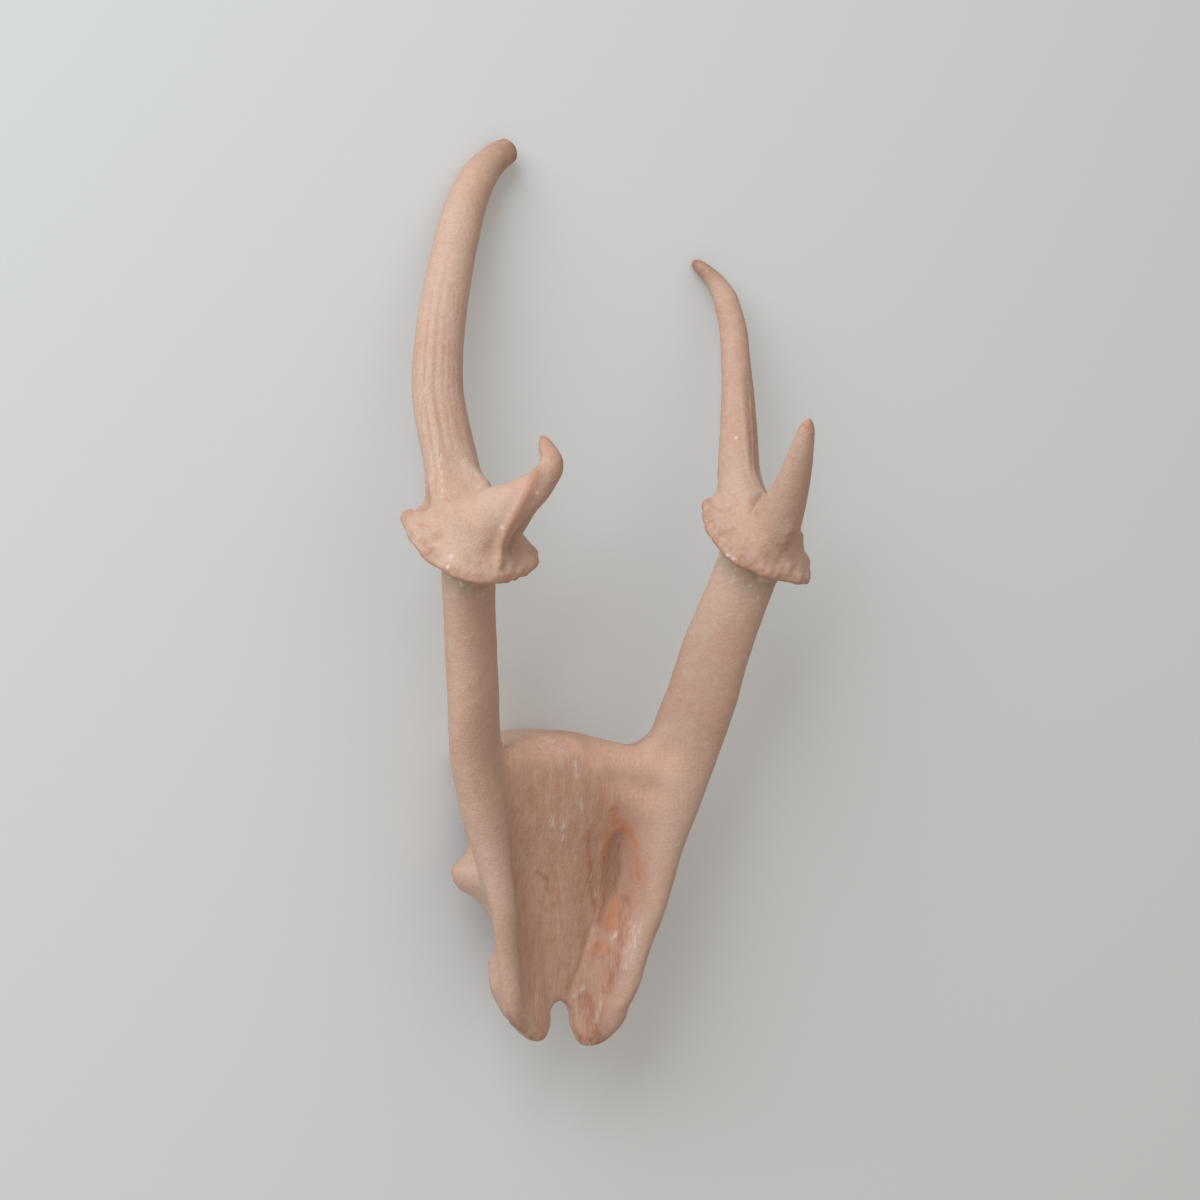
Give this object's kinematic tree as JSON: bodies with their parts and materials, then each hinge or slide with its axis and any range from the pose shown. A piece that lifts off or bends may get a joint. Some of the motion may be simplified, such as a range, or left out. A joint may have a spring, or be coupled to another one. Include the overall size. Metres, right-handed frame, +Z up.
{
  "type": "deer skull cap",
  "caption": "Sawn-off skull cap of a small muntjac-type deer with long pedicles, knobbly coronets, hooked antler beams and brow tines, in a matte terracotta-pink finish.",
  "frame": {"origin": "centre of the bounding box on the floor, with the cap lying on its back", "axes": "+Y from the nose lobes to the antler tips, +Z up out of the forehead, +X to the right of someone facing the forehead"},
  "size_m": [0.1522, 0.2926, 0.076],
  "materials": {
    "bone": "matte",
    "antler": "matte"
  },
  "bodies": {
    "root": {"skull_cap": "bone", "left_pedicle": "bone", "right_pedicle": "bone", "left_antler": "antler", "right_antler": "antler", "left_brow_tine": "antler", "right_brow_tine": "antler"}
  },
  "joints": []
}
